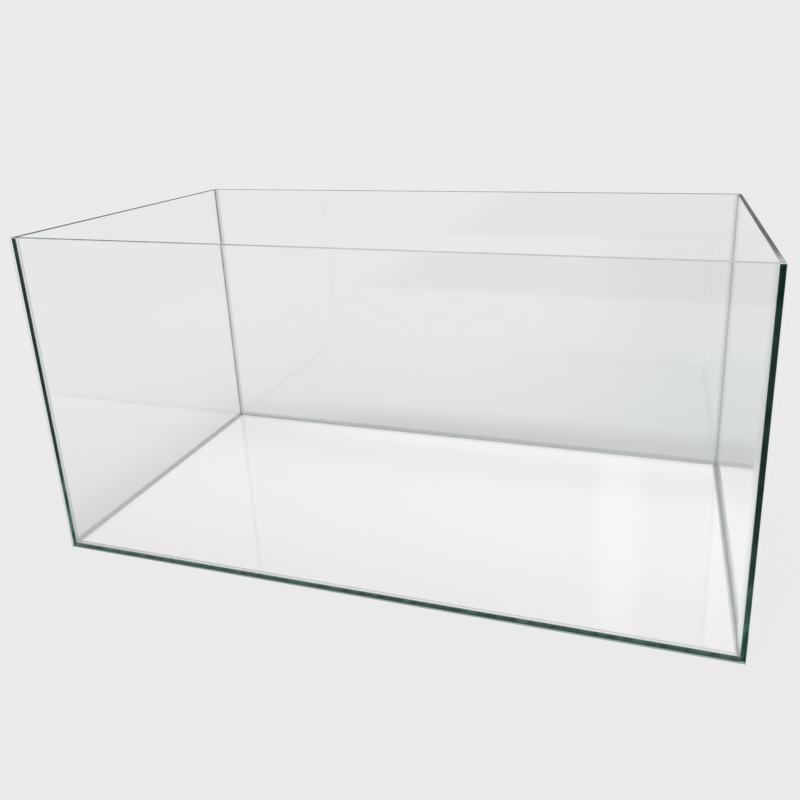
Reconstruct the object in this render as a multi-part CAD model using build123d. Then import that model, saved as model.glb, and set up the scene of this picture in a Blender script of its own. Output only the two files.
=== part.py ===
"""Rimless glass aquarium: five panes of float glass, glued with clear silicone.

Millimetres, +Z up. The origin is in the middle of the underside, X runs along the
tank and the front pane faces -Y. The front and back panes run the full length and
cover the ends of the side panes. The bottom pane lies between the four walls, and
walls and bottom all reach the surface that the tank stands on.
"""
import os

from build123d import *

# Outer size of the tank
LENGTH = 800.0
DEPTH = 400.0
HEIGHT = 400.0

# Glass
GLASS = 5.0  # thickness of every pane
ARRIS = 0.5  # narrow chamfer ground along every cut edge

# Silicone
BOND = 1.0  # layer that glues one pane's edge to the next pane's face
SETBACK = 0.5  # the layers and beads stop this far inside the outer edges
BEAD_LEG = 5.0  # width of an inner sealing bead on each of its two panes
BEAD_HOLLOW = 0.8  # depth of the tooled hollow in the bead's face

# Faces of the walls, measured from the middle
OUTER_X = LENGTH / 2
OUTER_Y = DEPTH / 2
INNER_X = OUTER_X - GLASS
INNER_Y = OUTER_Y - GLASS


def block(x_range, y_range, z_range):
    """A box between two values on each axis."""
    lows, highs = zip(x_range, y_range, z_range)
    sizes = [high - low for low, high in zip(lows, highs)]
    return Pos(*lows) * Box(*sizes, align=(Align.MIN, Align.MIN, Align.MIN))


def pane(x_range, y_range, z_range):
    """A cut pane, with its sharp edges ground off."""
    blank = block(x_range, y_range, z_range)
    return chamfer(blank.edges(), ARRIS)


def wall_panes():
    """The four walls: front and back cover the ends of the two side panes."""
    side_y = INNER_Y - BOND
    heights = (0, HEIGHT)
    return {
        "front_pane": pane((-OUTER_X, OUTER_X), (-OUTER_Y, -INNER_Y), heights),
        "back_pane": pane((-OUTER_X, OUTER_X), (INNER_Y, OUTER_Y), heights),
        "left_pane": pane((-OUTER_X, -INNER_X), (-side_y, side_y), heights),
        "right_pane": pane((INNER_X, OUTER_X), (-side_y, side_y), heights),
    }


def bottom_pane():
    """The bottom, one silicone layer smaller than the room between the walls."""
    half_x = INNER_X - BOND
    half_y = INNER_Y - BOND
    return pane((-half_x, half_x), (-half_y, half_y), (0, GLASS))


def corner_bonds(panes):
    """Silicone between each side pane's ends and the front and back panes.

    Each layer also fills the ground edge on the inner side of its side pane.
    """
    reach = INNER_Y - BOND - ARRIS
    heights = (SETBACK, HEIGHT - SETBACK)
    y_ranges = {"front": (-INNER_Y, -reach), "back": (reach, INNER_Y)}
    x_ranges = {"left": (SETBACK - OUTER_X, -INNER_X), "right": (INNER_X, OUTER_X - SETBACK)}
    bonds = {}
    for end, y_range in y_ranges.items():
        for side, x_range in x_ranges.items():
            layer = block(x_range, y_range, heights)
            bonds[f"{end}_{side}_corner_bond"] = layer - panes[f"{side}_pane"]
    return bonds


def base_bonds(panes):
    """Silicone between the bottom pane's four edges and the walls.

    The front and back layers run wall to wall, and the side ones between them.
    """
    bottom = panes["bottom_pane"]
    heights = (SETBACK, GLASS)
    reach_x = INNER_X - BOND - ARRIS
    reach_y = INNER_Y - BOND - ARRIS
    full_x = (-INNER_X, INNER_X)
    front = block(full_x, (-INNER_Y, -reach_y), heights) - bottom
    back = block(full_x, (reach_y, INNER_Y), heights) - bottom
    between = (-reach_y, reach_y)
    left = block((-INNER_X, -reach_x), between, heights) - bottom
    right = block((reach_x, INNER_X), between, heights) - bottom
    return {
        "front_base_bond": front,
        "back_base_bond": back,
        "left_base_bond": left,
        "right_base_bond": right,
    }


def bead_profile():
    """Section of an inner bead: two legs in a corner and a hollow, tooled face."""
    middle = BEAD_LEG / 2 - BEAD_HOLLOW / 2**0.5
    face_curve = ThreePointArc((BEAD_LEG, 0), (middle, middle), (0, BEAD_LEG))
    legs = Polyline((0, BEAD_LEG), (0, 0), (BEAD_LEG, 0))
    return make_face(legs + face_curve)


def base_beads():
    """Beads along the bottom pane's four sides, mitred where they meet."""
    # Each side: where its bead starts, which way it runs and which way is inwards
    runs = {
        "front": ((-INNER_X, -INNER_Y), Vector(1, 0, 0), Vector(0, 1, 0), 2 * INNER_X),
        "right": ((INNER_X, -INNER_Y), Vector(0, 1, 0), Vector(-1, 0, 0), 2 * INNER_Y),
        "back": ((INNER_X, INNER_Y), Vector(-1, 0, 0), Vector(0, -1, 0), 2 * INNER_X),
        "left": ((-INNER_X, INNER_Y), Vector(0, -1, 0), Vector(1, 0, 0), 2 * INNER_Y),
    }
    beads = {}
    for side, (corner, along, inwards, length) in runs.items():
        start = Vector(*corner, GLASS)
        section = Plane(start, x_dir=inwards, z_dir=along) * bead_profile()
        bead = extrude(section, length, dir=along)
        near_mitre = Plane(start, z_dir=along - inwards)
        far_mitre = Plane(start + along * length, z_dir=-along - inwards)
        bead = split(bead, bisect_by=near_mitre, keep=Keep.TOP)
        bead = split(bead, bisect_by=far_mitre, keep=Keep.TOP)
        beads[f"{side}_base_bead"] = bead
    return beads


def corner_beads(lower_beads):
    """Upright beads in the four corners, shaped over the base beads they meet."""
    up = Vector(0, 0, 1)
    # Each corner: its place, which way its first leg runs, and the base beads there
    corners = {
        "front_left": ((-INNER_X, -INNER_Y), Vector(1, 0, 0), ("front", "left")),
        "front_right": ((INNER_X, -INNER_Y), Vector(0, 1, 0), ("front", "right")),
        "back_right": ((INNER_X, INNER_Y), Vector(-1, 0, 0), ("back", "right")),
        "back_left": ((-INNER_X, INNER_Y), Vector(0, -1, 0), ("back", "left")),
    }
    height = HEIGHT - SETBACK - GLASS
    beads = {}
    for name, (corner, first_leg, sides) in corners.items():
        plane = Plane(Vector(*corner, GLASS), x_dir=first_leg, z_dir=up)
        bead = extrude(plane * bead_profile(), height, dir=up)
        for side in sides:
            bead -= lower_beads[f"{side}_base_bead"]
        beads[f"{name}_corner_bead"] = bead
    return beads


def build_tank():
    """Every piece of the tank, by name."""
    pieces = wall_panes()
    pieces["bottom_pane"] = bottom_pane()
    bonds = {**corner_bonds(pieces), **base_bonds(pieces)}
    beads = base_beads()
    beads.update(corner_beads(beads))
    return {**pieces, **bonds, **beads}


os.makedirs("parts", exist_ok=True)
for node, shape in build_tank().items():
    export_step(shape, f"parts/{node}.step")
    print(f"{node}: {len(shape.solids())} solid, {shape.volume / 1000:.2f} cm3")
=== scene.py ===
"""Rimless glass aquarium: five float glass panes glued with clear silicone. Metres, front faces -Y."""
import math

import bpy
from mathutils import Matrix, Vector


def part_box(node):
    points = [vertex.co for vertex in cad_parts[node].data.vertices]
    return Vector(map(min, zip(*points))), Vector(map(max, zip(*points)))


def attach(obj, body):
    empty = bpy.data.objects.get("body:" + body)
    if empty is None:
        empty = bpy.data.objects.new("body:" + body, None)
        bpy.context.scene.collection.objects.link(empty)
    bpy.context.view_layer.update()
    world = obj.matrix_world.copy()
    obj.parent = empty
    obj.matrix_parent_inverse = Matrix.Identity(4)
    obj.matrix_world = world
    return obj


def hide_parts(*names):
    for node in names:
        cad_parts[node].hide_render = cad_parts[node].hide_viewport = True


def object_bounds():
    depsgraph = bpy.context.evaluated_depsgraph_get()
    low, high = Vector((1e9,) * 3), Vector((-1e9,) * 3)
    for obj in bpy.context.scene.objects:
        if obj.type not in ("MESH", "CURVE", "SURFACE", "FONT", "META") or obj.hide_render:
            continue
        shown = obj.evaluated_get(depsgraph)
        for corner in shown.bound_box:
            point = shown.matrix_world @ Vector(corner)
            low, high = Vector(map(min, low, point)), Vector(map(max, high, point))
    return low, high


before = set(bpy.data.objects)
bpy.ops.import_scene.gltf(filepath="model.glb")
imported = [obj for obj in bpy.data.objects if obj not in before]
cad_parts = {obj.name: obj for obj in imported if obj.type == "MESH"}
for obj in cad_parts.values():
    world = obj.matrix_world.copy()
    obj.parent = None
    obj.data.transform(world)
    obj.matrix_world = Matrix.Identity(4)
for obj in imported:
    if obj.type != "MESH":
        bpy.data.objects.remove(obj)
cad_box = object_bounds()

# The camera stands to the right of the tank's middle, above its rim and about an arm's
# length from the front pane. It looks down past the rim, slightly tilted, and the frame
# is cropped low on its picture, so the lens is shifted.
EYE = Vector((0.2990, -0.8264, 0.5449))
YAW = math.radians(-16.662)
PITCH = math.radians(-16.413)
ROLL = math.radians(-1.811)
FOCAL_SHARE = 723.2 / 800  # focal length over the picture's width
CENTRE_X = 449.3 / 800  # where the lens axis meets the picture
CENTRE_Y = 301.8 / 800
SENSOR_WIDTH = 36  # millimetres
NEAREST = 0.01  # the camera sees nothing nearer than this

ahead = Vector((
    math.sin(YAW) * math.cos(PITCH),
    math.cos(YAW) * math.cos(PITCH),
    math.sin(PITCH),
))
level_right = Vector((math.cos(YAW), -math.sin(YAW), 0))
level_up = level_right.cross(ahead)
right = math.cos(ROLL) * level_right + math.sin(ROLL) * level_up
up = math.cos(ROLL) * level_up - math.sin(ROLL) * level_right
lens = bpy.data.cameras.new("camera")
lens.sensor_width = SENSOR_WIDTH
lens.lens = FOCAL_SHARE * SENSOR_WIDTH
lens.shift_x = 0.5 - CENTRE_X
lens.shift_y = CENTRE_Y - 0.5
lens.clip_start = NEAREST
camera = bpy.data.objects.new("camera", lens)
camera.matrix_world = Matrix.Translation(EYE) @ Matrix((right, up, -ahead)).transposed().to_4x4()
bpy.context.scene.collection.objects.link(camera)
bpy.context.scene.camera = camera

# The studio is one pale sweep: a floor that curves up into a wall behind the tank. The eye
# sees it flat and pale. Through the glass it shows a painted pool of light under the tank
# and painted shade just outside, and the glass mirrors painted reflections of a dim room
# in front and a bright panel at the back.
PALE = (0.831, 0.839, 0.815, 1)
NEUTRAL = (0.850, 0.839, 0.828, 1)  # the floor under the tank, which the glass turns greener
GREENER = (0.806, 0.839, 0.808, 1)  # and close behind it on the right
SWEEP_WIDTH = 12.0
SWEEP_FRONT = -5.0
SWEEP_BACK = 3.5
SWEEP_CURVE = 1.5
SWEEP_STEPS = 24
SWEEP_HEIGHT = 5.0
NEARLY = 0.01  # an edge this near a place is at it
CLEARANCE = 0.0003  # the floor lies this far under the glass
LIT_SHARE = 0.04  # how much of the floor's own shading the eye sees
MIRRORED_ONCE = 0.5  # a ray that glass has thrown back has a glossy depth above this

# How bright or dark the floor is by place, as painted light and shade, and along X, Y or Z where that
# starts and is full
UNDER_FRONT = 1.07  # how much whiter the floor is under the tank's front edge
UNDER_TANK = 1.13  # under its middle
UNDER_BACK = 0.95  # and under its back edge
UNDER_BACK_Y = 0.05
UNDER_RIGHT = 0.04  # and how much more towards its right end
UNDER_RIGHT_X = 0.30
RIM_BLUR = 0.001  # the floor's change at the tank's outline is this soft
CONTACT = 0.24  # how much darker it is along the tank, on the left and at the back
CONTACT_REACH = 0.13
LEFT_SOFTER = 0.45  # the contact shade's share on the left
LEFT_SOFTER_X = (-0.35, -0.10)
NEAR_TANK = 0.05  # how much darker it is further around the tank
NEAR_REACH = 0.50
LEFT_CORNER = 0.05  # and beside the near left corner
LEFT_CORNER_Y = 0.10
RIGHT_SIDE = 1.16  # how bright it is just outside on the right
RIGHT_SIDE_X = (-0.05, 0.01)  # from the tank's right side
RIGHT_SIDE_Y = (0.22, 0.08)
BACK_RIGHT = 0.10  # how much darker it is close behind the tank towards the right
BACK_RIGHT_X = (-0.1, 0.5)
BACK_RIGHT_Y = (0.28, 0.5, 0.9)  # full at the first two, gone at the last
BEHIND_RIGHT = 0.07  # and far behind
BEHIND_RIGHT_X = (0.0, 0.35)
BEHIND_RIGHT_Y = (0.45, 0.9, 1.7, 2.1)  # full at the middle two

# Painted reflections: what the glass mirrors, set on the sweep and the world by place
TABLE_Y = (-1.48, -1.42)  # the bright table in front ends here
TABLE_X = (-0.42, -0.60)  # except further left
ROOM_LEVEL = 0.10  # the dim room's brightness beside the sweep's
ROOM_FLOOR = 0.35  # and its floor's
ROOM_START = (-0.5, 0.2)  # where the world turns from the room to the sweep, along +Y
ROOM_LEAN = -0.5  # and, this much as fast, along X
WALL_LEVEL = 0.42  # the low wall behind, as the rims mirror it
WALL_Z = (0.2, 0.6)
PANEL_LEVEL = 2.6  # the bright panel above it
PANEL_X = (-4.0, -1.0)
PANEL_Z = (1.19, 1.24)
WINDOW_X = (-0.06, 0.06, 0.20, 0.32)  # a tall bright window, full at the middle two
WINDOW_Z = (1.7, 2.0)
WINDOW_LEVEL = 1.45


def value_node(tree, operation, *inputs):
    """A Math node over numbers and sockets."""
    node = tree.nodes.new("ShaderNodeMath")
    node.operation = operation
    for slot, given in enumerate(inputs):
        if isinstance(given, (int, float)):
            node.inputs[slot].default_value = given
        else:
            tree.links.new(given, node.inputs[slot])
    return node.outputs[0]


def product(tree, first, *others):
    """The product of numbers and sockets."""
    for other in others:
        first = value_node(tree, "MULTIPLY", first, other)
    return first


def step_up(tree, socket, start, end):
    """0 at start, 1 at end, and smooth between them, whichever is the larger."""
    node = tree.nodes.new("ShaderNodeMapRange")
    node.interpolation_type = "SMOOTHSTEP"
    node.inputs["From Min"].default_value = start
    node.inputs["From Max"].default_value = end
    tree.links.new(socket, node.inputs["Value"])
    return node.outputs["Result"]


def band(tree, socket, start, full, still_full, end):
    """0 at start, 1 from full to still_full, and 0 again at end."""
    return product(tree, step_up(tree, socket, start, full), step_up(tree, socket, end, still_full))


def between(tree, first, second, share):
    """A number that goes from first to second as share goes from 0 to 1."""
    node = tree.nodes.new("ShaderNodeMix")
    node.data_type = "FLOAT"
    tree.links.new(share, node.inputs["Factor"])
    for name, given in (("A", first), ("B", second)):
        if isinstance(given, (int, float)):
            node.inputs[name].default_value = given
        else:
            tree.links.new(given, node.inputs[name])
    return node.outputs["Result"]


def blend_colours(tree, first, second, share):
    """A colour that goes from first to second as share goes from 0 to 1."""
    node = tree.nodes.new("ShaderNodeMix")
    node.data_type = "RGBA"
    tree.links.new(share, node.inputs["Factor"])
    colour_slots = (6, 7)  # its sockets A and B for colours, and slot 2 gives their mix
    for slot, given in zip(colour_slots, (first, second)):
        if isinstance(given, tuple):
            node.inputs[slot].default_value = given
        else:
            tree.links.new(given, node.inputs[slot])
    return node.outputs[2]


def glow_over(tree, lit_socket, brightness, share, tint):
    """Mixes a glow of the given brightness and tint over a lit shader."""
    glow = tree.nodes.new("ShaderNodeEmission")
    if isinstance(tint, tuple):
        glow.inputs["Color"].default_value = tint
    else:
        tree.links.new(tint, glow.inputs["Color"])
    tree.links.new(brightness, glow.inputs["Strength"])
    mix = tree.nodes.new("ShaderNodeMixShader")
    tree.links.new(share, mix.inputs[0])
    tree.links.new(lit_socket, mix.inputs[1])
    tree.links.new(glow.outputs[0], mix.inputs[2])
    return mix.outputs[0]


def seen_rays(tree, path):
    """1 for a ray that shows the surface itself: from the eye, a mirror or through glass."""
    seen = value_node(tree, "MAXIMUM", path.outputs["Is Camera Ray"], path.outputs["Is Glossy Ray"])
    return value_node(tree, "MAXIMUM", seen, path.outputs["Is Transmission Ray"])


def mirrored_rays(tree, path):
    """1 for a ray that glass has thrown back at least once."""
    return value_node(tree, "GREATER_THAN", path.outputs["Glossy Depth"], MIRRORED_ONCE)


def coordinates(tree, kind):
    """The X, Y and Z sockets of Object or Generated coordinates."""
    place = tree.nodes.new("ShaderNodeTexCoord")
    split = tree.nodes.new("ShaderNodeSeparateXYZ")
    tree.links.new(place.outputs[kind], split.inputs[0])
    return split.outputs


def select_edges(piece, chosen):
    """Selects the piece's edges whose two ends pass a test, and goes into edit mode."""
    for edge in piece.data.edges:
        edge.select = all(chosen(piece.data.vertices[i].co) for i in edge.vertices)
    bpy.ops.object.mode_set(mode="EDIT")


bpy.ops.object.select_all(action="DESELECT")
bpy.ops.mesh.primitive_plane_add(size=1, location=(0, 0, 0))
sweep = bpy.context.active_object
sweep.name = "studio_sweep"
sweep.scale = (SWEEP_WIDTH, SWEEP_BACK - SWEEP_FRONT, 1)
sweep.location = (0, (SWEEP_BACK + SWEEP_FRONT) / 2, -CLEARANCE)
bpy.ops.object.transform_apply(location=True, rotation=False, scale=True)
bpy.ops.object.mode_set(mode="EDIT")
bpy.ops.mesh.select_all(action="DESELECT")
bpy.ops.mesh.select_mode(type="EDGE")
bpy.ops.object.mode_set(mode="OBJECT")
select_edges(sweep, lambda co: co.y > SWEEP_BACK - NEARLY)
bpy.ops.mesh.extrude_region_move(TRANSFORM_OT_translate={"value": (0, 0, SWEEP_HEIGHT)})
bpy.ops.object.mode_set(mode="OBJECT")
select_edges(sweep, lambda co: co.y > SWEEP_BACK - NEARLY and co.z < NEARLY)
bpy.ops.mesh.bevel(offset=SWEEP_CURVE, segments=SWEEP_STEPS, affect="EDGES")
bpy.ops.object.mode_set(mode="OBJECT")
bpy.ops.object.shade_smooth()

sweep_paint = bpy.data.materials.new("pale_sweep")
sweep_paint.use_nodes = True
tree = sweep_paint.node_tree
tree.nodes.remove(tree.nodes["Principled BSDF"])
matt = tree.nodes.new("ShaderNodeBsdfDiffuse")
matt.inputs["Color"].default_value = PALE
path = tree.nodes.new("ShaderNodeLightPath")
eye_ray = path.outputs["Is Camera Ray"]
x, y, z = coordinates(tree, "Object")
half_length = cad_box[1].x
half_depth = cad_box[1].y
out_x = value_node(tree, "SUBTRACT", value_node(tree, "ABSOLUTE", x), half_length)
out_y = value_node(tree, "SUBTRACT", value_node(tree, "ABSOLUTE", y), half_depth)
outside = value_node(tree, "MAXIMUM", out_x, out_y)
beyond = step_up(tree, outside, -RIM_BLUR, RIM_BLUR)

# Outside the tank, as seen in the glass, the floor has painted shade along it and painted light on its
# right
contact = between(tree, -CONTACT, 0.0, step_up(tree, outside, 0, CONTACT_REACH))
contact_share = between(tree, LEFT_SOFTER, 1.0, step_up(tree, x, *LEFT_SOFTER_X))
near = product(tree, contact, contact_share)
corner = product(tree, step_up(tree, x, 0, -half_length), step_up(tree, y, LEFT_CORNER_Y, -half_depth))
near = value_node(tree, "SUBTRACT", near, product(tree, corner, LEFT_CORNER))
near = value_node(tree, "ADD", near, 1 - NEAR_TANK)
beside_x = step_up(tree, x, half_length + RIGHT_SIDE_X[0], half_length + RIGHT_SIDE_X[1])
beside = product(tree, step_up(tree, y, *RIGHT_SIDE_Y), beside_x)
shade = between(tree, near, RIGHT_SIDE, beside)
shade = between(tree, shade, 1.0, step_up(tree, outside, 0, NEAR_REACH))
behind = product(tree, band(tree, y, *BEHIND_RIGHT_Y), step_up(tree, x, *BEHIND_RIGHT_X))
shade = value_node(tree, "SUBTRACT", shade, product(tree, behind, BEHIND_RIGHT))
close = product(tree, band(tree, y, half_depth, *BACK_RIGHT_Y), step_up(tree, x, *BACK_RIGHT_X))
shade = value_node(tree, "SUBTRACT", shade, product(tree, close, BACK_RIGHT))

# Under the tank it is whiter: a painted pool of light
under = between(tree, UNDER_FRONT, UNDER_TANK, step_up(tree, y, -half_depth, 0))
to_right = step_up(tree, x, -half_length, UNDER_RIGHT_X)
under = value_node(tree, "ADD", under, product(tree, to_right, UNDER_RIGHT))
under = between(tree, under, UNDER_BACK, step_up(tree, y, UNDER_BACK_Y, half_depth))
floor = between(tree, under, shade, beyond)
# The eye sees the floor plain; only rays through or off the glass see this painted light and shade
through = between(tree, floor, 1.0, eye_ray)

# In the glass it shows painted reflections of a table, the dim room around it, and a wall with a panel
# and a window
table = value_node(tree, "MAXIMUM", step_up(tree, y, *TABLE_Y), step_up(tree, x, *TABLE_X))
room = between(tree, ROOM_FLOOR, 1.0, table)
panel = product(tree, step_up(tree, z, *PANEL_Z), step_up(tree, x, *PANEL_X))
wall = between(tree, WALL_LEVEL, PANEL_LEVEL, panel)
wall = between(tree, room, wall, step_up(tree, z, *WALL_Z))
window = between(tree, 1.0, WINDOW_LEVEL, band(tree, x, *WINDOW_X))
bright = between(tree, wall, window, step_up(tree, z, *WINDOW_Z))
reflected = product(tree, through, between(tree, 1.0, bright, mirrored_rays(tree, path)))
tint = blend_colours(tree, NEUTRAL, PALE, beyond)
tint = blend_colours(tree, tint, GREENER, product(tree, close, beyond))
tint = blend_colours(tree, tint, PALE, eye_ray)
share = product(tree, seen_rays(tree, path), 1 - LIT_SHARE)
shown = glow_over(tree, matt.outputs[0], reflected, share, tint)
tree.links.new(shown, tree.nodes["Material Output"].inputs["Surface"])
sweep.data.materials.append(sweep_paint)

AIR_LEVEL = 0.85
world = bpy.data.worlds.new("studio")
world.use_nodes = True
bpy.context.scene.world = world
tree = world.node_tree
air = tree.nodes["Background"]
air.inputs["Color"].default_value = (1, 1, 1, 1)
air.inputs["Strength"].default_value = AIR_LEVEL
path = tree.nodes.new("ShaderNodeLightPath")
x, y, z = coordinates(tree, "Generated")
# To rays the glass has thrown back, the world is a painted dim room in front
forward = value_node(tree, "ADD", y, product(tree, x, ROOM_LEAN))
room = between(tree, ROOM_LEVEL, 1.0, step_up(tree, forward, *ROOM_START))
reflected = between(tree, 1.0, room, mirrored_rays(tree, path))
shown = glow_over(tree, air.outputs[0], reflected, seen_rays(tree, path), PALE)
tree.links.new(shown, tree.nodes["World Output"].inputs["Surface"])

# One large softbox lights the tank from above its left front corner. It doesn't show in
# the glass, which mirrors the studio alone.
SOFTBOX_WIDTH = 2.4
SOFTBOX_DEPTH = 1.8
SOFTBOX_POWER = 22
SOFTBOX_PLACE = Vector((-1.2, -1.0, 2.6))
SOFTBOX_AIM = Vector((0, 0, 0.2))
softbox = bpy.data.lights.new("softbox", "AREA")
softbox.shape = "RECTANGLE"
softbox.size = SOFTBOX_WIDTH
softbox.size_y = SOFTBOX_DEPTH
softbox.energy = SOFTBOX_POWER
softbox_stand = bpy.data.objects.new("softbox", softbox)
softbox_stand.location = SOFTBOX_PLACE
softbox_stand.rotation_euler = (SOFTBOX_AIM - SOFTBOX_PLACE).to_track_quat("-Z", "Y").to_euler()
softbox_stand.visible_glossy = False
softbox_stand.visible_transmission = False
bpy.context.scene.collection.objects.link(softbox_stand)

# Light passes many panes and layers before it has left the tank
GLASS_BOUNCES = 128
CLEAR_BOUNCES = 24
bpy.context.scene.view_settings.view_transform = "Standard"
bpy.context.scene.cycles.max_bounces = GLASS_BOUNCES
bpy.context.scene.cycles.transmission_bounces = GLASS_BOUNCES
bpy.context.scene.cycles.glossy_bounces = GLASS_BOUNCES
bpy.context.scene.cycles.transparent_max_bounces = CLEAR_BOUNCES

# The front and back panes are full-length sheets of 5 mm float glass. Their edges are
# ground to a narrow arris and look dark green, because there the eye looks along the sheet.
# Where silicone wets the glass, the surface between them hardly mirrors or bends light.
ARRIS = 0.0005
ARRIS_STEPS = 2
LEG = 0.005  # glass thickness and the beads' legs
SKIN = 0.00002  # glass stands this far back from the silicone around it
WET = 0.0003  # silicone this near a pane touches it
DIGITS = 6  # places are compared to the micrometre
LEFT_STRIP = 0.0082  # how wide the left pane's end shows through the front pane, at a slant
STRAIGHT = 0.999  # a face looks straight along an axis if its normal reaches this far
UPRIGHT = 0.1  # and stands upright if its normal rises less than this
GLASS_IOR = 1.52
GLUED_IOR = 1.078  # float glass against silicone
STRIP_IOR = 1.2  # the face over the right pane's end, which hardly mirrors
FAINT_IOR = 1.05  # the feet and the front pane's left end, as seen from within
NO_MIRROR = 0.0
X, Y, Z = range(3)

silicone_boxes = [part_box(name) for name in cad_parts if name.endswith("_bond")]


def unit(axis):
    """One along an axis, and nothing along the others."""
    return Vector([1 if i == axis else 0 for i in (X, Y, Z)])


def colour(red, green, blue):
    """An opaque colour."""
    return (red, green, blue, 1)


def grey(value):
    """An opaque grey."""
    return colour(value, value, value)


def new_material(name):
    """A node material, its tree and its Principled node."""
    material = bpy.data.materials.new(name)
    material.use_nodes = True
    return material, material.node_tree, material.node_tree.nodes["Principled BSDF"]


def noise(tree, scale, stretch=(1, 1, 1), turn=0, detail=3):
    """A noise pattern on Object coordinates, drawn out along an axis and turned about Y."""
    place = tree.nodes.new("ShaderNodeTexCoord")
    mapping = tree.nodes.new("ShaderNodeMapping")
    mapping.vector_type = "TEXTURE"
    mapping.inputs["Rotation"].default_value = (0, turn, 0)
    mapping.inputs["Scale"].default_value = [1 / n for n in stretch]
    pattern = tree.nodes.new("ShaderNodeTexNoise")
    pattern.inputs["Scale"].default_value = scale
    pattern.inputs["Detail"].default_value = detail
    tree.links.new(place.outputs["Object"], mapping.inputs["Vector"])
    tree.links.new(mapping.outputs[0], pattern.inputs["Vector"])
    return pattern.outputs["Fac"]


def ramp(tree, socket, places, shades):
    """A colour that goes from one shade to another between two places of a pattern."""
    node = tree.nodes.new("ShaderNodeValToRGB")
    for element, place, shade in zip(node.color_ramp.elements, places, shades):
        element.position = place
        element.color = shade
    tree.links.new(socket, node.inputs["Fac"])
    return node.outputs["Color"]


SHEET = colour(0.980, 0.985, 0.984)  # what light keeps of its colour at each surface
SMEAR_SCALE = 9
SMEAR_STRETCH = (1, 1, 2.5)
SMEAR_DETAIL = 4
SMEAR_PLACES = (0.5, 0.8)
SMEARS = (grey(0), grey(0.015))


def face_glass(name, ior, mirror=1.0):
    """The large faces: clear, faintly green, with wiping marks that barely blur."""
    material, tree, glass = new_material(name)
    glass.inputs["Base Color"].default_value = SHEET
    glass.inputs["Transmission Weight"].default_value = 1
    glass.inputs["IOR"].default_value = ior
    glass.inputs["Specular Tint"].default_value = grey(mirror)
    smears = noise(tree, SMEAR_SCALE, SMEAR_STRETCH, detail=SMEAR_DETAIL)
    tree.links.new(ramp(tree, smears, SMEAR_PLACES, SMEARS), glass.inputs["Roughness"])
    return material


STREAK_PLACES = (0.4, 0.6)
# Painted light: low down an edge is paler, as if lit by the table
TABLE_LIT_Z = (0.032, 0.16)  # an edge is paler up to the first height, and deep green from the second


def edge_glass(name, streaks, dark, light, gloss, within=None):
    """An edge: the green depth of the sheet from outside, with painted streaks of light and shade and
    a low part painted paler as light from the table, and its own look from within.
    """
    material, tree, outer = new_material(name)
    ior, roughness = gloss
    outer.inputs["IOR"].default_value = ior
    outer.inputs["Roughness"].default_value = roughness
    # Painted streaks of light and shade, and painted light from the table on the low part
    pattern = noise(tree, *streaks)
    deep = ramp(tree, pattern, STREAK_PLACES, dark)
    pale = ramp(tree, pattern, STREAK_PLACES, light)
    high = step_up(tree, coordinates(tree, "Object")["Z"], *TABLE_LIT_Z)
    tree.links.new(blend_colours(tree, pale, deep, high), outer.inputs["Base Color"])
    if within is None:
        return material
    ior, roughness, tint = within
    inner = tree.nodes.new("ShaderNodeBsdfPrincipled")
    inner.inputs["Transmission Weight"].default_value = 1
    inner.inputs["IOR"].default_value = ior
    inner.inputs["Roughness"].default_value = roughness
    inner.inputs["Base Color"].default_value = tint
    side = tree.nodes.new("ShaderNodeNewGeometry")
    mix = tree.nodes.new("ShaderNodeMixShader")
    tree.links.new(side.outputs["Backfacing"], mix.inputs[0])
    tree.links.new(outer.outputs[0], mix.inputs[1])
    tree.links.new(inner.outputs[0], mix.inputs[2])
    tree.links.new(mix.outputs[0], tree.nodes["Material Output"].inputs["Surface"])
    return material


# Colours of an edge, from the darkest painted streak to the palest
DEEP = (colour(0.014, 0.068, 0.040), colour(0.034, 0.118, 0.078))
# The second pair is for an edge's low part, painted paler as light from the table
DEEP_TABLE_LIT = (colour(0.020, 0.150, 0.085), colour(0.210, 0.480, 0.350))
RIM = (colour(0.010, 0.024, 0.017), colour(0.030, 0.058, 0.043))
FOOT_RIM = (colour(0.09, 0.14, 0.115), colour(0.13, 0.18, 0.15))
FROST = (colour(0.44, 0.50, 0.47), colour(0.60, 0.65, 0.62))

# Scale, stretch and turn of its painted streaks of light and shade
EVEN = (60, (1, 1, 1), 0)
SLANTED = (150, (1, 1, 0.12), 0.5)

# IOR and roughness from outside
GROUND = (1.5, 0.06)
FROSTED = (1.5, 0.4)
FOOT = (1.5, 0.3)
SATIN = (1.3, 0.5)
DULL = (1.03, 0.5)

# IOR, roughness and tint from within
RIM_WITHIN = (GLASS_IOR, 0.5, colour(1, 1, 1))
ARRIS_WITHIN = (GLASS_IOR, 0.4, colour(1, 1, 1))
LEFT_END_WITHIN = (FAINT_IOR, 0.3, colour(0.80, 0.90, 0.85))
FOOT_WITHIN = (FAINT_IOR, 0.3, colour(0.5, 0.6, 0.55))
FRONT_FOOT_WITHIN = (FAINT_IOR, 0.3, colour(0.11, 0.24, 0.17))

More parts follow.
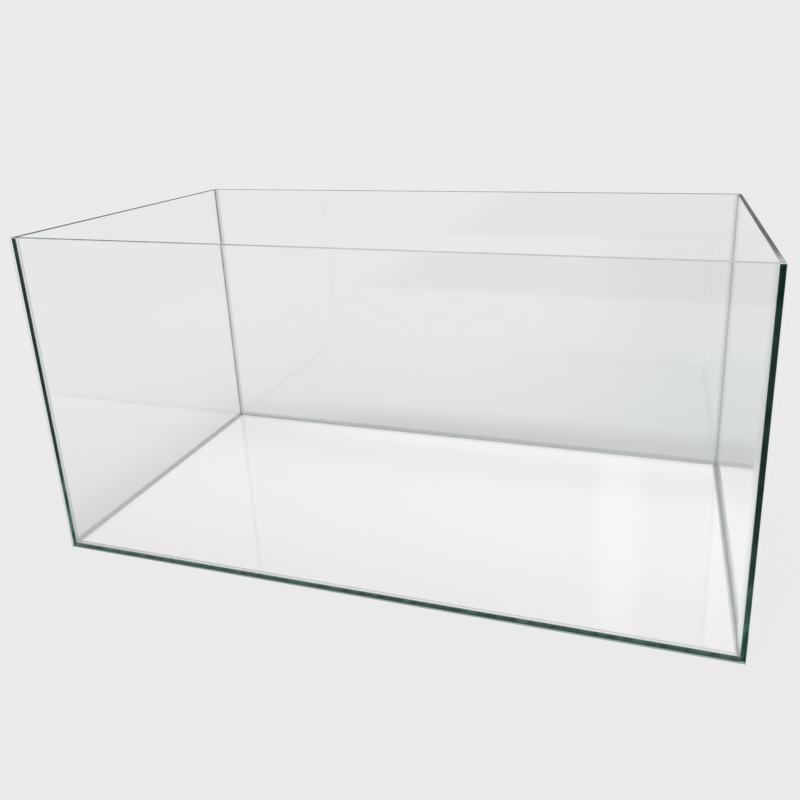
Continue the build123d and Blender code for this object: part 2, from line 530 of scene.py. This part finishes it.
PANE_LOOKS = {
    "face": face_glass("clear_float_glass", GLASS_IOR),
    "glued_face": face_glass("clear_float_glass_under_silicone", GLUED_IOR),
    "over_right_edge": face_glass("clear_float_glass_over_edge", STRIP_IOR),
    "over_left_edge": face_glass("clear_float_glass_over_left_edge", GLASS_IOR, NO_MIRROR),
    "rim": edge_glass("ground_glass_edge", EVEN, RIM, RIM, GROUND, RIM_WITHIN),
    "arris": edge_glass("frosted_glass_arris", EVEN, FROST, FROST, FROSTED, ARRIS_WITHIN),
    "end": edge_glass("upright_glass_edge", SLANTED, DEEP, DEEP_TABLE_LIT, DULL),
    "left_end": edge_glass("pale_left_edge", SLANTED, DEEP, DEEP_TABLE_LIT, DULL, LEFT_END_WITHIN),
    "foot": edge_glass("glass_foot_edge", EVEN, RIM, RIM, FOOT, FOOT_WITHIN),
    "front_foot": edge_glass("front_foot_edge", EVEN, RIM, RIM, FOOT, FRONT_FOOT_WITHIN),
    "foot_arris": edge_glass("foot_arris", EVEN, FOOT_RIM, FOOT_RIM, SATIN),
}
FEET = {"front_pane": "front_foot", "right_pane": "right_foot"}


def touches_silicone(place, normal):
    """True if silicone lies just outside a face here, straight out or along any one axis."""
    for axis in (X, Y, Z):
        probe = place + 2 * ARRIS * (normal[axis] * unit(axis))
        for low, high in silicone_boxes:
            if all(low[i] <= probe[i] <= high[i] for i in (X, Y, Z)):
                return True
    return False


def silicone_borders(low, high):
    """The planes where the silicone's borders cross a pane: pairs of axis and place."""
    planes = set()
    for box in silicone_boxes:
        near = all(box[0][i] < high[i] + WET and box[1][i] > low[i] - WET for i in (X, Y, Z))
        for axis in (X, Y, Z):
            for corner in box:
                place = round(corner[axis], DIGITS)
                if near and low[axis] + 2 * ARRIS < place < high[axis] - 2 * ARRIS:
                    planes.add((axis, place))
    return sorted(planes)


def pane_look(node, face, thin_axis):
    """Which look a pane's face has, by its place, the way it faces and what touches it."""
    at_foot = face.center.z < 2 * ARRIS
    upright = abs(face.normal.z) < UPRIGHT
    glued = touches_silicone(face.center, face.normal)
    full_length = node in ("front_pane", "back_pane")
    if abs(face.normal[thin_axis]) > STRAIGHT:
        if face.normal.y < 0 and face.center.x > half_length - LEG:
            return "over_right_edge"
        if face.normal.y < 0 and face.center.x < LEFT_STRIP - half_length:
            return "over_left_edge"
        return "glued_face" if glued else "face"
    if node == "bottom_pane":
        return "bottom_edge"
    if at_foot:
        return FEET.get(node, "foot") if face.normal.z < -STRAIGHT else "foot_arris"
    if full_length and upright:
        return "left_end" if node == "front_pane" and face.normal.x < 0 else "end"
    if glued or upright:
        return "glued_edge"
    slanting = max(abs(n) for n in face.normal) < STRAIGHT
    return "arris" if full_length and slanting else "rim"


def box_between(name, low, high):
    """A box with its corners at low and high, less the skin."""
    size = high - low - 2 * Vector((SKIN, SKIN, SKIN))
    bpy.ops.object.select_all(action="DESELECT")
    bpy.ops.mesh.primitive_cube_add(size=1, location=(low + high) / 2, scale=size)
    piece = bpy.context.active_object
    piece.name = name
    bpy.ops.object.transform_apply(location=True, rotation=True, scale=True)
    return piece


def make_pane(node):
    """One cut sheet in the place of its CAD node."""
    low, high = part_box(node)
    pane = box_between("glass_" + node, low, high)
    bpy.ops.object.mode_set(mode="EDIT")
    bpy.ops.mesh.select_all(action="SELECT")
    bpy.ops.mesh.bevel(offset=ARRIS, segments=ARRIS_STEPS, affect="EDGES")
    strip_side = [(X, low.x + LEFT_STRIP)] if node == "front_pane" else []
    for axis, place in silicone_borders(low, high) + strip_side:
        bpy.ops.mesh.select_all(action="SELECT")
        bpy.ops.mesh.bisect(plane_co=place * unit(axis), plane_no=unit(axis))
    bpy.ops.object.mode_set(mode="OBJECT")
    thin_axis = min((X, Y, Z), key=lambda axis: high[axis] - low[axis])
    looks = [pane_look(node, face, thin_axis) for face in pane.data.polygons]
    worn = [look for look in PANE_LOOKS if look in looks]
    for look in worn:
        pane.data.materials.append(PANE_LOOKS[look])
    for face, look in zip(pane.data.polygons, looks):
        face.material_index = worn.index(look)
    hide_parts(node)
    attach(pane, "root")


for node in ("front_pane", "back_pane"):
    make_pane(node)

# The two side panes stand between the front and the back one, with glue on their ends. The
# dark front ends show through the front pane, with painted streaks, and are painted paler
# low down as light from the table.
END_TABLE_LIT = (colour(0.035, 0.190, 0.110), colour(0.270, 0.560, 0.420))
END_WITHIN = (GLUED_IOR, 0.15, colour(0.30, 0.38, 0.34))
RIGHT_FOOT_WITHIN = (FAINT_IOR, 0.3, colour(0.86, 0.91, 0.88))

PANE_LOOKS["glued_edge"] = edge_glass("glued_glass_edge", SLANTED, DEEP, END_TABLE_LIT, DULL, END_WITHIN)
PANE_LOOKS["right_foot"] = edge_glass("right_foot_edge", EVEN, RIM, RIM, FOOT, RIGHT_FOOT_WITHIN)
for node in ("left_pane", "right_pane"):
    make_pane(node)

# The bottom pane lies on the table between the four walls, with glue along its four edges.
# The green front one shows through the front pane, painted paler as light from the table.
BOTTOM_WITHIN = (GLUED_IOR, 0.3, colour(1, 1, 1))

PANE_LOOKS["bottom_edge"] = edge_glass(
    "bottom_glass_edge", SLANTED, DEEP, DEEP_TABLE_LIT, DULL, BOTTOM_WITHIN
)
make_pane("bottom_pane")

# Clear silicone glues each edge to the next pane's face, in a layer 1 mm thick. The glass
# on both sides is wetted by it, so the layer itself bends no light. Its outer ends are
# painted dark, as shade between the panes.
GLUE = 0.001
LAYER_IOR = 1.0
CLOUD_SCALE = 120
CLOUD_PLACES = (0.4, 0.7)
CLOUDS = (grey(0.78), grey(0.90))
ENDWAYS = 0.9  # a face is an end of the layer if its normal reaches this far along it

LAYER, tree, gum = new_material("clear_silicone_layer")
gum.inputs["Transmission Weight"].default_value = 1
gum.inputs["IOR"].default_value = LAYER_IOR
cloudy = ramp(tree, noise(tree, CLOUD_SCALE), CLOUD_PLACES, CLOUDS)
tree.links.new(cloudy, gum.inputs["Base Color"])
# Painted shade: the layer's open ends are dark green
SHADED_LAYER_RIM = edge_glass("silicone_layer_shade_rim", EVEN, RIM, RIM, SATIN)


def make_layer(node, across, wall_way, free_axis, free_way):
    """One layer of glue: a plate against the wall, and a lip over the next pane's arris."""
    low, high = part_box(node)
    if wall_way > 0:
        low[across] = high[across] - GLUE
    else:
        high[across] = low[across] + GLUE
    layer = box_between("silicone_" + node, low, high)
    free_end = high[free_axis] if free_way > 0 else low[free_axis]
    lip_start = (free_end - free_way * ARRIS) * unit(free_axis)
    bpy.ops.object.mode_set(mode="EDIT")
    bpy.ops.mesh.select_all(action="SELECT")
    bpy.ops.mesh.bisect(plane_co=lip_start, plane_no=unit(free_axis))
    bpy.ops.mesh.select_all(action="DESELECT")
    bpy.ops.object.mode_set(mode="OBJECT")
    middle = (low + high) / 2
    for vertex in layer.data.vertices:
        lip = (vertex.co[across] - middle[across]) * wall_way < 0
        vertex.select = lip and abs(vertex.co[free_axis] - free_end) < 2 * SKIN
    bpy.ops.object.mode_set(mode="EDIT")
    bpy.ops.transform.translate(value=-wall_way * (ARRIS - 2 * SKIN) * unit(across))
    bpy.ops.object.mode_set(mode="OBJECT")
    layer.data.materials.append(LAYER)
    layer.data.materials.append(SHADED_LAYER_RIM)
    # Painted shade: the ends that show from outside or from below wear the dark rim
    for face in layer.data.polygons:
        outer_end = face.normal[free_axis] * free_way < -ENDWAYS or face.normal.z < -ENDWAYS
        butt_end = abs(face.normal.y) > ENDWAYS
        face.material_index = int(outer_end if across == Y else butt_end)
    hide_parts(node)
    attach(layer, "root")


for y_name, y_way in (("front", -1), ("back", 1)):
    make_layer(y_name + "_base_bond", Y, y_way, Z, 1)
    for x_name, x_way in (("left", -1), ("right", 1)):
        make_layer(y_name + "_" + x_name + "_corner_bond", Y, y_way, X, -x_way)
for x_name, x_way in (("left", -1), ("right", 1)):
    make_layer(x_name + "_base_bond", X, x_way, Z, 1)

# A bead of clear silicone seals each inner corner, tooled hollow with a wet finger. It
# darkens what lies behind it by its depth. Base beads are mitred, and upright ones end on them.
BEAD_HOLLOW = 0.14  # 0.25 would be a flat face
BEAD_STEPS = 8
BEAD_ROUGHNESS = 0.35
BEAD_TINT = colour(0.99, 1, 0.995)
BEAD_DEPTH = colour(0.20, 0.30, 0.26)
SMOOTH_BELOW = math.radians(40)


def silicone_bead(name, ior, density):
    """Clear silicone that takes a little light along the way through it."""
    material, tree, gum = new_material(name)
    gum.inputs["Base Color"].default_value = BEAD_TINT
    gum.inputs["Transmission Weight"].default_value = 1
    gum.inputs["IOR"].default_value = ior
    gum.inputs["Roughness"].default_value = BEAD_ROUGHNESS
    depth = tree.nodes.new("ShaderNodeVolumeAbsorption")
    depth.inputs["Color"].default_value = BEAD_DEPTH
    depth.inputs["Density"].default_value = density
    tree.links.new(depth.outputs[0], tree.nodes["Material Output"].inputs["Volume"])
    return material


BEAD = silicone_bead("clear_silicone_bead", ior=1.25, density=75)
FRONT_BEAD = silicone_bead("clear_silicone_front_bead", ior=1.1, density=35)
# The back base bead absorbs more than the others and the right base bead less, so they show darker and
# paler
BASE_BEADS = {
    "back_base_bead": silicone_bead("clear_silicone_darker_bead", ior=1.25, density=120),
    "right_base_bead": silicone_bead("clear_silicone_paler_bead", ior=1.38, density=24),
}


def make_bead(node, along, inward, cuts):
    """A bead: a square strip with its free edge cut hollow, and its ends cut to fit."""
    low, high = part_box(node)
    bead = box_between("silicone_" + node, low, high)
    bpy.ops.object.mode_set(mode="EDIT")
    bpy.ops.mesh.select_all(action="DESELECT")
    bpy.ops.object.mode_set(mode="OBJECT")
    middle = (low + high) / 2
    for edge in bead.data.edges:
        ends = [bead.data.vertices[i].co - middle for i in edge.vertices]
        runs = abs(ends[0][along] - ends[1][along]) > LEG
        edge.select = runs and all(ends[0][axis] * way > 0 for axis, way in inward)
    bpy.ops.object.mode_set(mode="EDIT")
    bpy.ops.mesh.bevel(offset=LEG - 4 * SKIN, segments=BEAD_STEPS, profile=BEAD_HOLLOW, affect="EDGES")
    for place, facing in cuts:
        bpy.ops.mesh.select_all(action="SELECT")
        bpy.ops.mesh.bisect(plane_co=place, plane_no=facing, use_fill=True, clear_outer=True)
    bpy.ops.object.mode_set(mode="OBJECT")
    bpy.ops.object.shade_smooth_by_angle(angle=SMOOTH_BELOW)
    usual = FRONT_BEAD if node.startswith("front") else BEAD
    bead.data.materials.append(BASE_BEADS.get(node, usual))
    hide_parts(node)
    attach(bead, "root")


inner_x = half_length - LEG
inner_y = half_depth - LEG
for name, x_way, y_way in (("front", 0, -1), ("back", 0, 1), ("left", -1, 0), ("right", 1, 0)):
    along, across = (X, Y) if y_way else (Y, X)
    inward = [(across, -(x_way or y_way)), (Z, 1)]
    mitres = []
    for way in (-1, 1):
        facing = -Vector((x_way, y_way, 0))
        facing[along] = way
        corner = Vector((x_way * inner_x, y_way * inner_y, LEG))
        corner[along] = way * (inner_x if along == X else inner_y)
        mitres.append((corner, facing))
    make_bead(name + "_base_bead", along, inward, mitres)
for y_name, y_way in (("front", -1), ("back", 1)):
    for x_name, x_way in (("left", -1), ("right", 1)):
        inward = [(X, -x_way), (Y, -y_way)]
        foot = Vector((x_way * inner_x, y_way * inner_y, 2 * LEG + SKIN))
        over = [(foot, Vector((x_way, 0, -1))), (foot, Vector((0, y_way, -1)))]
        make_bead(y_name + "_" + x_name + "_corner_bead", Z, inward, over)
